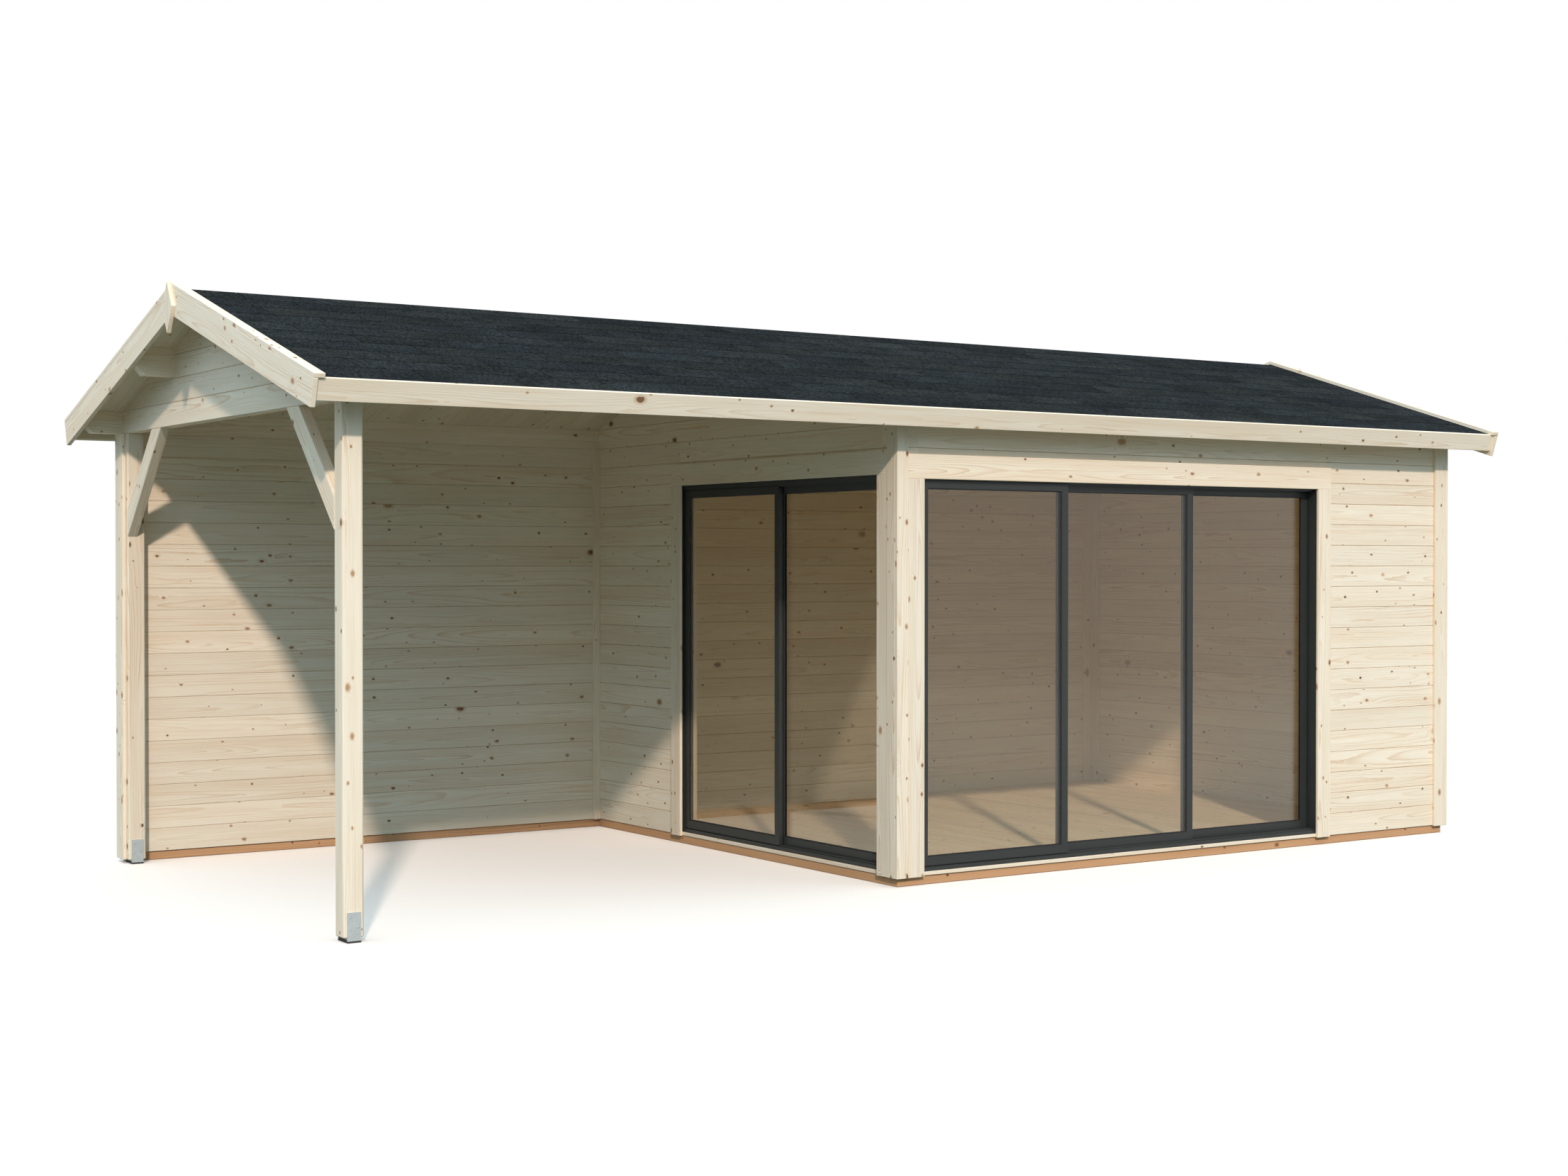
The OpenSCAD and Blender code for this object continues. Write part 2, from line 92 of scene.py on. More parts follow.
# The slope cut below the free ends of plates and purlins, and the bevel round their tips.
END_CUT = 0.040
TIP_BEVEL = 0.0012

# Bevels on the edges of timbers; at the ends of a timber they are END_BEVEL times as wide.
FINE_BEVEL = 0.0015
BOARD_BEVEL = 0.002
BEAM_BEVEL = 0.003
POST_BEVEL = 0.007
END_BEVEL = 0.7

# Thickness of the boards of the corner post and of the corner trims.
CORNER_BOARD_T = 0.019
TRIM_T = 0.017
# The cover board on the end of the back wall: its thickness, its width and its front edge.
COVER_T = 0.016
COVER_W = 0.118
COVER_Y = 1.377

# Closer than this, two places are the same.
SAME = 1e-5

X, Y, Z = np.eye(3)


# ---- Shapes ----

def box_of(name):
    low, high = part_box(name)
    return np.array(low), np.array(high)


def parts_of(name):
    """The solids of a CAD node, as arrays of points, from left to right and front to back."""
    mesh = frame["nodes"][name].data
    points = np.array([v.co for v in mesh.vertices])
    keys = [tuple(k) for k in np.round(points, 5)]
    ids = {}
    index = np.array([ids.setdefault(k, len(ids)) for k in keys])
    group = np.arange(len(ids))
    edges = np.array([index[list(e.vertices)] for e in mesh.edges])
    changed = True
    while changed:
        low = np.minimum(group[edges[:, 0]], group[edges[:, 1]])
        before = group.copy()
        np.minimum.at(group, edges[:, 0], low)
        np.minimum.at(group, edges[:, 1], low)
        group = group[group]
        changed = bool((before != group).any())
    places = np.zeros((len(ids), 3))
    places[index] = points
    solids = [places[group == g] for g in np.unique(group)]
    return sorted(solids, key=lambda s: tuple(np.round(s.min(0), 3)))


def section_of(points, axis):
    """The convex outline of a prism at the low end of an axis, as points on the two other axes."""
    end = points[points[:, axis] < points[:, axis].min() + SAME]
    end = np.delete(end, axis, 1)
    around = end - end.mean(0)
    return end[np.argsort(np.arctan2(around[:, 1], around[:, 0]))]


def place(axis, at, polygon):
    """A flat outline put square to an axis, as points in space."""
    return np.insert(np.asarray(polygon, float), axis, at, axis=1)


def chamfered(polygon, cut):
    """An outline with each corner cut off, at this distance along both its sides."""
    corners = []
    count = len(polygon)
    for i in range(count):
        here = polygon[i]
        for other in (polygon[i - 1], polygon[(i + 1) % count]):
            step = other - here
            corners.append(here + step * (cut / np.linalg.norm(step)))
    return np.array(corners)


def inset(polygon, depth):
    """An outline whose sides are all moved inwards."""
    polygon = np.asarray(polygon, float)
    following = np.roll(polygon, -1, 0)
    along = following - polygon
    turn = np.sign(np.sum(polygon[:, 0] * following[:, 1] - following[:, 0] * polygon[:, 1]))
    normal = np.column_stack([-along[:, 1], along[:, 0]]) * turn
    normal /= np.linalg.norm(normal, axis=1)[:, None]
    before = np.roll(normal, 1, 0)
    return polygon + depth * (normal + before) / (1 + np.sum(normal * before, 1))[:, None]


def rectangle(low, high):
    """The outline between two opposite corners."""
    return np.array([[low[0], low[1]], [high[0], low[1]], [high[0], high[1]], [low[0], high[1]]])


def circle(sides):
    """The corners of a regular polygon with a radius of 1."""
    turns = np.arange(sides) * 2 * math.pi / sides
    return np.column_stack([np.cos(turns), np.sin(turns)])


def add_object(name, data):
    thing = bpy.data.objects.new(name, data)
    bpy.context.scene.collection.objects.link(thing)
    return thing


class Boards:
    """Closed solids gathered into one piece, each with grain coordinates and tones of its own."""

    # Where a board may lie in its tree: along the trunk, and from the pith across and into it.
    TRUNK = (0, 60)
    PITH_ACROSS = (-0.03, 0.03)
    PITH_DEPTH = (0.02, 0.09)

    def __init__(self, seed):
        self.random = np.random.default_rng(seed)
        self.points, self.grain, self.side, self.tone, self.faces = [], [], [], [], []
        self.count = 0

    def grain_offset(self):
        """A random place in a tree for one board."""
        r = self.random
        along, across = r.uniform(*self.TRUNK), r.uniform(*self.PITH_ACROSS)
        return np.array([along, across, r.choice([-1, 1]) * r.uniform(*self.PITH_DEPTH)])

    def loft(self, rings, along, across, origin=None, offset=None, tone=None, looped=False):
        """A closed solid through rings of points, given its ways along the grain and across it."""
        size = len(rings[0])
        points = np.concatenate(rings)
        faces = [] if looped else [
            list(range(size))[::-1], [len(points) - size + i for i in range(size)],
        ]
        for r in range(len(rings) if looped else len(rings) - 1):
            a, b = r * size, (r + 1) % len(rings) * size
            for i in range(size):
                j = (i + 1) % size
                faces.append([a + i, a + j, b + j, b + i])
        centre = points.mean(0)
        volume = 0
        for face in faces:
            p = points[face] - centre
            for k in range(1, len(face) - 1):
                volume += np.dot(p[0], np.cross(p[k], p[k + 1]))
        if volume < 0:
            faces = [face[::-1] for face in faces]
        along = np.asarray(along, float) / np.linalg.norm(along)
        across = np.asarray(across, float) / np.linalg.norm(across)
        axes = np.array([along, across, np.cross(along, across)])
        origin = centre if origin is None else origin
        offset = self.grain_offset() if offset is None else offset
        tone = self.random.uniform(0, 1, 3) if tone is None else tone
        self.points.append(points)
        self.grain.append((points - origin) @ axes.T + offset)
        self.side.append(np.tile(across, (len(points), 1)))
        self.tone.append(np.tile(tone, (len(points), 1)))
        self.faces += [[self.count + i for i in face] for face in faces]
        self.count += len(points)

    def bar(self, axis, start, end, polygon, bevel, along, across):
        """A prism along an axis with all its edges bevelled."""
        end_bevel = bevel * END_BEVEL
        full = chamfered(np.asarray(polygon, float), bevel)
        small = inset(full, end_bevel)
        rings = [
            place(axis, start, small), place(axis, start + end_bevel, full),
            place(axis, end - end_bevel, full), place(axis, end, small),
        ]
        self.loft(rings, along, across)

    def timber(self, low, high, bevel=FINE_BEVEL):
        """A straight timber that fills a box, with its grain along its longest side."""
        low, high = np.asarray(low, float), np.asarray(high, float)
        _, wide, axis = np.argsort(high - low)
        rest = [a for a in range(3) if a != axis]
        outline = rectangle(low[rest], high[rest])
        self.bar(axis, low[axis], high[axis], outline, bevel, np.eye(3)[axis], np.eye(3)[wide])

    def plank(self, axis, outer, inner, polygon, joints, along, lift=1):
        """A board with faces square to an axis; joints: chamfers of its outer and inner face."""
        polygon = np.asarray(polygon, float)
        low = polygon[:, lift] < polygon[:, lift].min() + SAME
        high = polygon[:, lift] > polygon[:, lift].max() - SAME
        direction = np.sign(inner - outer)

        def ring(at, depth):
            shape = polygon.copy()
            shape[low, lift] += depth
            shape[high, lift] -= depth
            return place(axis, at, shape)

        rings = [
            ring(outer, joints[0]), ring(outer + direction * joints[0], GAP),
            ring(outer + direction * (joints[0] + TONGUE), -TONGUE_LAP),
            ring(inner - direction * (joints[1] + TONGUE), -TONGUE_LAP),
            ring(inner - direction * joints[1], GAP), ring(inner, joints[1]),
        ]
        self.loft(rings, along, np.cross(np.eye(3)[axis], along))

    def piece(self, name, material, body, slot, *nodes):
        """Turns the solids into an object that rides a body and stands for the CAD nodes."""
        mesh = bpy.data.meshes.new(name)
        mesh.from_pydata(np.concatenate(self.points).tolist(), [], self.faces)
        for key, rows in (("grain", self.grain), ("side", self.side), ("tone", self.tone)):
            attribute = mesh.attributes.new(key, "FLOAT_VECTOR", "POINT")
            attribute.data.foreach_set("vector", np.concatenate(rows).astype(np.float32).ravel())
        mesh.materials.append(material)
        mesh.validate()
        thing = add_object(name, mesh)
        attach(thing, body)
        if nodes:
            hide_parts(*nodes)


# ---- Materials ----

class Nodes:
    """Shader nodes built in code, for a material or the world.

    A socket or a node may stand wherever a number or a colour can.
    """

    def __init__(self, owner, output="OutputMaterial"):
        owner.use_nodes = True
        self.owner = owner
        self.tree = owner.node_tree
        self.tree.nodes.clear()
        self.out = self.node(output)

    def link(self, value, socket):
        if isinstance(value, bpy.types.Node):
            value = next(o for o in value.outputs if o.enabled)
        if isinstance(value, bpy.types.NodeSocket):
            self.tree.links.new(value, socket)
        elif isinstance(value, tuple) and socket.type == "RGBA" and len(value) == 3:
            socket.default_value = (*value, 1)
        else:
            socket.default_value = value

    def node(self, kind, settings=None, inputs=None):
        node = self.tree.nodes.new("ShaderNode" + kind)
        for key, value in (settings or {}).items():
            setattr(node, key, value)
        for key, value in (inputs or {}).items():
            self.link(value, node.inputs[key])
        return node

    def finish(self, shader):
        self.tree.links.new(shader.outputs[0], self.out.inputs["Surface"])
        return self.owner

    # Numbers

    def math(self, operation, *values):
        node = self.node("Math", {"operation": operation})
        for i, value in enumerate(values):
            self.link(value, node.inputs[i])
        return node.outputs[0]

    def product(self, first, *others):
        for other in others:
            first = self.math("MULTIPLY", first, other)
        return first

    def between(self, value, low, high):
        """A line from low where the value is 0 to high where it is 1."""
        return self.math("MULTIPLY_ADD", value, high - low, low)

    def centred(self, value, reach, start=0.0):
        """A value around a half, stretched by reach and moved so that a half falls on start."""
        return self.math("MULTIPLY_ADD", self.math("SUBTRACT", value, 0.5), reach, start)

    def smooth(self, value, low, high, to_low=0.0, to_high=1.0):
        """A smooth step, from to_low where the value is low to to_high where it is high."""
        return self.node("MapRange", {"interpolation_type": "SMOOTHSTEP"}, {
            "Value": value, "From Min": low, "From Max": high, "To Min": to_low, "To Max": to_high,
        }).outputs["Result"]

    # Vectors and places

    def attribute(self, name):
        node = self.node("Attribute", {"attribute_type": "GEOMETRY", "attribute_name": name})
        return node.outputs["Vector"]

    def split(self, vector):
        return self.node("SeparateXYZ", None, {"Vector": vector}).outputs[:3]

    def combine(self, *values):
        node = self.node("CombineXYZ")
        for i, value in enumerate(values):
            self.link(value, node.inputs[i])
        return node.outputs[0]

    def scaled(self, parts, factors):
        return self.combine(*[self.math("MULTIPLY", p, f) for p, f in zip(parts, factors)])

    def position(self):
        """The place on the object, in metres."""
        return self.node("TexCoord").outputs["Object"]

    # Colours and textures

    def channels(self, colour):
        return self.node("SeparateColor", None, {"Color": colour}).outputs[:3]

    def mix(self, factor, a, b, blend="MIX"):
        node = self.node("Mix", {"data_type": "RGBA", "blend_type": blend})
        sockets = [s for s in node.inputs if s.enabled]
        for value, socket in zip((factor, a, b), sockets):
            self.link(value, socket)
        return next(o for o in node.outputs if o.enabled)

    def brightened(self, colour, bright):
        return self.mix(1.0, colour, self.combine(bright, bright, bright), "MULTIPLY")

    def noise(self, vector, scale=1.0, detail=2.0, roughness=0.5):
        return self.node("TexNoise", {"noise_dimensions": "3D"}, {
            "Vector": vector, "Scale": scale, "Detail": detail, "Roughness": roughness,
        })

    def bump(self, strength, distance, height):
        return self.node("Bump", None, {
            "Strength": strength, "Distance": distance, "Height": height,
        })


def material_nodes(name):
    return Nodes(bpy.data.materials.new(name))


# Colours. Of wood: its early and late wood, its warmer veins, and its knots and their surroundings.
SPRUCE = {
    "light": (0.885, 0.780, 0.620), "late": (0.67, 0.475, 0.30), "warm": (0.74, 0.53, 0.335),
    "knot": (0.115, 0.060, 0.030), "halo": (0.56, 0.34, 0.18),
}
IMPREGNATED = {
    "light": (0.64, 0.36, 0.185), "late": (0.36, 0.155, 0.065), "warm": (0.50, 0.26, 0.11),
    "knot": (0.10, 0.045, 0.02), "halo": (0.33, 0.16, 0.07),
}
KNOTTY_CONTRAST = 1.15
GRIT = (0.0200, 0.0225, 0.0240)
WARM_GRIT = (0.0232, 0.0250, 0.0240)
ANTHRACITE = (0.026, 0.030, 0.028)
# Black of the gaskets, also used for the blocks of painted shade under the posts.
GASKET_AND_SHADE_BLACK = (0.012, 0.012, 0.012)
# Painted shade at the foot of the post brackets.
PAINTED_SHADE_BLACK = (0.02, 0.02, 0.02)
ZINC = (0.46, 0.50, 0.50)
GLASS_TINT = (0.89, 0.872, 0.82)
PALE_TINT = (0.91, 0.892, 0.84)
WHITE = (1.0, 1.0, 1.0)
# The height below which the foot of a post bracket is painted black, as the shade at its foot.
SHADE_FOOT_Z = 0.008

# Knots of a board: cells a metre along and across it, the share of cells that hold one, and the
# least and the largest radius of a knot in cells.
SMALL_KNOTS = (6.5, 9.5, 0.46, 0.022, 0.058)
LARGE_KNOTS = (2.1, 3.3, 0.40, 0.018, 0.042)
TRIM_KNOTS = (6.0, 9.5, 0.50, 0.032, 0.085)
# The cells' scatter, the raggedness of knots in cells, and the shift that tells both kinds apart.
KNOT_SCATTER = 0.9
KNOT_RAG = 0.03
SMALL_SHIFT = 3.1
LARGE_SHIFT = 11.7

# Noise cells a metre along, across and into a board.
RAG_CELLS = (90, 90, 90)
WARP_CELLS = (0.6, 6, 6)
CRINKLE_CELLS = (9, 45, 45)
PATCH_CELLS = (1.3, 9, 9)
DRIFT_CELLS = (0.8, 14, 14)
VEIN_CELLS = (1.1, 55, 55)
STREAK_CELLS = (22, 1150, 1150)
FIBRE_CELLS = (5, 420, 420)

# How far the year rings wander in metres, how many there are to a metre, and by how many rings the
# knots turn them aside.
WARP = 0.08
CRINKLE = 0.0035
RINGS = (130.0, 200.0)
LARGE_BEND = 2.6
SMALL_BEND = 0.9

# A face whose normal lies this near to the board's side is an edge, which has knots of its own.
EDGE_FACING = 0.8
EDGE_SHIFT = 0.31


def knots_over(n, u, across, ragged, sizes, shift):
    """Knots on a face: 1 in a cell that holds one, the distance from it in radii, and its tone."""
    cells_along, cells_across, share, least, largest = sizes
    cell = n.node("TexVoronoi", {"voronoi_dimensions": "2D", "feature": "F1"}, {
        "Vector": n.combine(
            n.math("MULTIPLY_ADD", u, cells_along, shift),
            n.math("MULTIPLY", across, cells_across),
            0.0,
        ),
        "Scale": 1.0, "Randomness": KNOT_SCATTER,
    })
    chance, size, tone = n.channels(cell.outputs["Color"])
    here = n.math("LESS_THAN", chance, share)
    distance = n.math("ADD", cell.outputs["Distance"], ragged)
    return here, n.math("DIVIDE", distance, n.between(size, least, largest)), tone


def wood(name, light, late, warm, knot, halo, contrast=1.0, large_knots=LARGE_KNOTS):
    """Planed softwood: year rings round a pith, wavy along the grain, turned aside by the knots."""
    n = material_nodes(name)
    u, v, w = n.split(n.attribute("grain"))
    tone_value, tone_hue, tone_ring = n.split(n.attribute("tone"))

    def noise(cells, detail, roughness=0.5):
        return n.noise(n.scaled((u, v, w), cells), detail=detail, roughness=roughness)

    # Knots: on a board's edges their second coordinate runs into the board.
    facing = n.node("VectorMath", {"operation": "DOT_PRODUCT"}, {
        0: n.node("NewGeometry").outputs["Normal"], 1: n.attribute("side"),
    }).outputs["Value"]
    on_edge = n.math("GREATER_THAN", n.math("ABSOLUTE", facing), EDGE_FACING)
    edgewise = n.math("SUBTRACT", n.math("ADD", w, EDGE_SHIFT), v)
    across = n.math("MULTIPLY_ADD", on_edge, edgewise, v)
    ragged = n.centred(noise(RAG_CELLS, 1).outputs["Fac"], KNOT_RAG)
    small_here, small, small_tone = knots_over(n, u, across, ragged, SMALL_KNOTS, SMALL_SHIFT)
    large_here, large, large_tone = knots_over(n, u, across, ragged, large_knots, LARGE_SHIFT)

    # Year rings: the distance from the pith, with warps and with bends round the knots
    warp = n.channels(noise(WARP_CELLS, 2, 0.4).outputs["Color"])
    crinkle = n.channels(noise(CRINKLE_CELLS, 3, 0.6).outputs["Color"])
    v2, w2 = [
        n.centred(fine, CRINKLE, n.centred(broad, WARP, straight))
        for straight, broad, fine in zip((v, w), warp, crinkle)
    ]
    radius = n.math("SQRT", n.math("ADD", n.product(v2, v2), n.product(w2, w2)))
    rings = n.product(radius, n.between(tone_ring, *RINGS))
    rings = n.math("ADD", rings, n.product(n.smooth(large, 4.5, 0.6), large_here, LARGE_BEND))
    rings = n.math("ADD", rings, n.product(n.smooth(small, 3.6, 0.6), small_here, SMALL_BEND))
    ring = n.math("FRACT", rings)

    # Late wood: a fine dark line that ends each ring, and a faint darkening on the way to it
    line = n.product(n.math("POWER", n.smooth(ring, 0.5, 0.96), 2.0), n.smooth(ring, 1.0, 0.96))
    broad = n.smooth(ring, 0.05, 0.95)
    late_wood = n.math("MULTIPLY_ADD", line, 0.8, n.product(broad, 0.2))
    patches = n.smooth(noise(PATCH_CELLS, 1).outputs["Fac"], 0.3, 0.65, 0.35, 1.0)
    strength = n.product(n.between(tone_hue, 0.45, 0.80), contrast, patches)
    colour = n.mix(n.product(late_wood, strength), light, late)

    # Warmer drifts and veins
    drift = n.smooth(noise(DRIFT_CELLS, 1).outputs["Fac"], 0.42, 0.72, 0.0, 0.45)
    colour = n.mix(drift, colour, n.mix(0.6, colour, warm))
    vein = n.smooth(noise(VEIN_CELLS, 2, 0.6).outputs["Fac"], 0.55, 0.72)
    colour = n.mix(n.product(vein, n.between(broad, 0.15, 0.65)), colour, warm)

    # Knots: a halo, then a large knot's heart with its rings and dark rim, or a small dark spot
    colour = n.mix(n.product(n.smooth(large, 2.3, 0.9), large_here, 0.75), colour, halo)
    colour = n.mix(n.product(n.smooth(small, 2.0, 0.8), small_here, 0.5), colour, halo)
    heart_ring = n.smooth(n.math("FRACT", n.product(large, 3.2)), 0.2, 0.9)
    heart = n.mix(heart_ring, tuple(2.1 * c for c in knot), tuple(1.15 * c for c in knot))
    heart = n.mix(n.smooth(large_tone, 0.1, 0.8), heart, n.mix(0.75, heart, halo))
    rim = n.product(n.smooth(large, 0.78, 0.95), n.smooth(large_tone, 0.9, 0.3, 0.25, 1.0))
    heart = n.mix(rim, heart, knot)
    colour = n.mix(n.product(n.smooth(large, 1.08, 0.92), large_here), colour, heart)
    spot = n.mix(small_tone, knot, halo)
    colour = n.mix(n.product(n.smooth(small, 1.15, 0.8), small_here), colour, spot)

    # Fibres and short dark streaks
    fibre = noise(FIBRE_CELLS, 3, 0.6).outputs["Fac"]
    streaks = n.smooth(noise(STREAK_CELLS, 2, 0.6).outputs["Fac"], 0.70, 0.78, 1.0, 0.86)
    shade = n.product(n.between(fibre, 0.86, 1.16), n.between(tone_value, 0.955, 1.045), streaks)
    colour = n.brightened(colour, shade)
    height = n.math("ADD", n.product(fibre, 0.5), n.product(late_wood, 0.35))
    return n.finish(n.node("BsdfPrincipled", None, {
        "Base Color": colour, "Roughness": n.between(fibre, 0.55, 0.69), "Specular IOR Level": 0.3,
        "Normal": n.bump(0.22, 0.0006, height),
    }))


def shingle():
    """Bitumen felt under mineral grit, with a tone for each tab."""
    n = material_nodes("bitumen_shingles")
    grain = n.split(n.attribute("grain"))
    tone_value, tone_hue, _ = n.split(n.attribute("tone"))
    grit = n.noise(n.scaled(grain, (520, 520, 520)), detail=2, roughness=0.7).outputs["Fac"]
    clump = n.noise(n.scaled(grain, (110, 38, 38)), detail=3, roughness=0.7).outputs["Fac"]
    patch = n.noise(n.scaled(grain, (3, 5, 5)), detail=2).outputs["Fac"]
    bright = n.product(
        n.between(tone_value, 0.78, 1.08), n.smooth(patch, 0.3, 0.7, 0.85, 1.2),
        n.smooth(clump, 0.32, 0.68, 0.5, 1.6), n.smooth(grit, 0.25, 0.8, 0.35, 2.0),
    )
    hue = n.mix(tone_hue, GRIT, WARM_GRIT)
    height = n.math("ADD", grit, n.product(clump, 1.5))
    return n.finish(n.node("BsdfPrincipled", None, {
        "Base Color": n.brightened(hue, bright), "Roughness": 0.95, "Specular IOR Level": 0.0,
        "Normal": n.bump(0.6, 0.0015, height),
    }))


def coated(name, colour, rough):
    """Powder-coated metal, or gasket black that also paints shade, finely textured and faintly
    uneven.
    """
    n = material_nodes(name)
    fine = n.noise(n.position(), scale=900.0, detail=2).outputs["Fac"]
    broad = n.noise(n.position(), scale=7.0, detail=3).outputs["Fac"]
    bright = n.product(n.between(fine, 0.94, 1.06), n.between(broad, 0.92, 1.08))
    return n.finish(n.node("BsdfPrincipled", None, {
        "Base Color": n.brightened(colour, bright), "Specular IOR Level": 0.3,
        "Roughness": n.between(broad, rough - 0.06, rough + 0.06),
        "Normal": n.bump(0.25, 0.0002, fine),
    }))


def galvanised(name, shade_z=None):
    """Zinc with its spangle; below shade_z it is painted black, as shade."""
    n = material_nodes(name)
    cell = n.node("TexVoronoi", {"feature": "F1"}, {"Vector": n.position(), "Scale": 160.0})
    spangle, spangle_rough, _ = n.channels(cell.outputs["Color"])
    haze = n.noise(n.position(), scale=35.0, detail=3).outputs["Fac"]
    bright = n.product(n.between(spangle, 0.92, 1.02), n.between(haze, 0.92, 1.08))
    colour = n.brightened(ZINC, bright)
    metallic = 0.6
    # Below that height the zinc is painted black, as the shade at the bracket's foot.
    if shade_z:
        above = n.math("GREATER_THAN", n.split(n.position())[2], shade_z)
        colour = n.mix(above, PAINTED_SHADE_BLACK, colour)
        metallic = n.product(above, metallic)
    return n.finish(n.node("BsdfPrincipled", None, {
        "Base Color": colour, "Roughness": n.between(spangle_rough, 0.38, 0.58),
        "Metallic": metallic, "Normal": n.bump(0.1, 0.0002, haze),
    }))


def tinted_glass():
    """Clear glass with a brown-grey tint, which mirrors more where it is seen at a slant."""
    n = material_nodes("tinted_glass")
    haze = n.noise(n.position(), scale=1.6, detail=2).outputs["Fac"]
    tint = n.mix(haze, GLASS_TINT, PALE_TINT)
    clear = n.node("BsdfTransparent", None, {"Color": tint})
    gloss = n.node("BsdfGlossy", None, {"Color": WHITE, "Roughness": 0.02})
    facing = n.node("LayerWeight", None, {"Blend": 0.5}).outputs["Facing"]
    mirror = n.between(n.math("POWER", facing, 3.0), 0.035, 0.835)
    return n.finish(n.node("MixShader", None, {0: mirror, 1: clear, 2: gloss}))


# The walls' spruce, and that of posts and trims, whose knots are larger.
spruce = wood("spruce", **SPRUCE)
knotty_spruce = wood("knotty_spruce", **SPRUCE, contrast=KNOTTY_CONTRAST, large_knots=TRIM_KNOTS)
treated = wood("treated_timber", **IMPREGNATED)
shingles = shingle()
anthracite = coated("anthracite_aluminium", ANTHRACITE, 0.45)
# Black of the glazing gaskets, which also paints the shade in the gap under each post.
black_for_gaskets_and_shade = coated("black_for_gaskets_and_shade", GASKET_AND_SHADE_BLACK, 0.7)
steel = galvanised("galvanised_steel")
# Zinc whose foot is painted black, as the shade under the brackets.
shade_footed_steel = galvanised("galvanised_steel_with_painted_shade_foot", SHADE_FOOT_Z)
glass = tinted_glass()

# ---- Foundation and floor; the number given with each piece is the seed of its random draws ----


def timbers(name, material, slot, seed, *nodes, bevel=FINE_BEVEL):
    """One piece that fills the boxes of the nodes' solids with timbers."""
    boards = Boards(seed)
    for node in nodes:
        for solid in parts_of(node):
            boards.timber(solid.min(0), solid.max(0), bevel)
    boards.piece(name, material, "house", slot, *nodes)


timbers(
    "foundation_beams_along", treated, "treated_timber", 11, "foundation_long_beams",
    bevel=BEAM_BEVEL,
)
timbers(
    "foundation_beams_across", treated, "treated_timber", 12, "foundation_cross_beams",
    bevel=BEAM_BEVEL,
)
timbers("joists", treated, "treated_timber", 13, "floor_joists", bevel=BEAM_BEVEL)


def strips(low, high, width):
    """The near and far edge of each board, where boards of about this width lie side by side."""
    edges = np.linspace(low, high, round((high - low) / width) + 1)
    return list(zip(edges[:-1], edges[1:]))


low, high = box_of("floor_boards")
boards = Boards(14)
for x0, x1 in strips(low[0], high[0], FLOOR_BOARD_W):
    outline = rectangle((x0, low[1]), (x1, high[1]))
    boards.plank(2, high[2], low[2], outline, (FLOOR_JOINT, FLOOR_UNDER_JOINT), Y, lift=0)
boards.piece("floor_planks", spruce, "house", "spruce", "floor_boards")

# ---- Walls ----

back_wall_low, back_wall_high = box_of("back_wall")
post_low = box_of("terrace_posts")[0]
wall_foot = back_wall_low[2]
plate_z = back_wall_high[2]

# The joints are counted down from the wall plates, and go on up the gables, past the ridge.
ENOUGH = 40
courses = round((plate_z - wall_foot - COURSE / 2) / COURSE)
wall_joints = plate_z + COURSE * (np.arange(1, ENOUGH) - courses)


def bands(z0, z1):
    """The foot and top of each wall board from z0 to z1."""
    inner = [z for z in wall_joints if z0 + LEAST_HEIGHT < z < z1 - LEAST_HEIGHT]
    return list(zip([z0] + inner, inner + [z1]))


def wall(boards, normal, low, high, outward):
    """Boards that fill a box as a wall, whose outer face looks along outward times the normal."""
    run = 1 - normal
    outer, inner = (high, low) if outward > 0 else (low, high)
    for z0, z1 in bands(low[2], high[2]):
        board = rectangle((low[run], z0), (high[run], z1))
        boards.plank(
            normal, outer[normal], inner[normal], board, (WALL_JOINT, ROOM_JOINT), np.eye(3)[run],
        )


# Each node with the axis that its faces look along, and which way along it its outer face looks.
STRAIGHT_WALLS = (
    ("back_wall", 1, 1), ("right_wall", 0, 1),
    ("front_wall_head", 1, -1), ("front_wall_right", 1, -1),
    ("return_wall_head", 0, -1), ("return_wall_far", 0, -1),
)
for seed, (node, normal, outward) in enumerate(STRAIGHT_WALLS, 20):
    boards = Boards(seed)
    low, high = box_of(node)
    if node == "back_wall":
        # Its boards run out to the cover board at the post's outer face.
        low[0] = post_low[0]
    wall(boards, normal, low, high, outward)
    boards.piece(node + "_boards", spruce, "house", "spruce", node)

# The corner wall's front leg laps the end of its side leg.
low, high = box_of("corner_wall")
inside = low + WALL_T
boards = Boards(30)
wall(boards, 1, low, np.array([high[0], inside[1], high[2]]), -1)
wall(boards, 0, np.array([low[0], inside[1], low[2]]), np.array([inside[0], high[1], high[2]]), -1)
boards.piece("corner_wall_boards", spruce, "house", "spruce", "corner_wall")

# ---- Gables, clipped by the roof and slotted for the purlins ----

gable_foot = box_of("right_gable")[0][2]
ridge_top = box_of("ridge_purlin")[1][2]
# The front, back and foot of each slot.
slots = sorted(
    (solid[:, 1].min(), solid[:, 1].max(), solid[:, 2].min())
    for node in ("middle_purlins", "ridge_purlin") for solid in parts_of(node)
)


def under_roof(y):
    """Height of the roof boards' undersides."""
    return ridge_top - abs(y) * SLOPE


def board_top(y, z1, side):
    """Height of a gable board's upper edge just beside y."""
    near = y + side * SAME
    return min([z1, under_roof(y)] + [z for y0, y1, z in slots if y0 < near < y1])


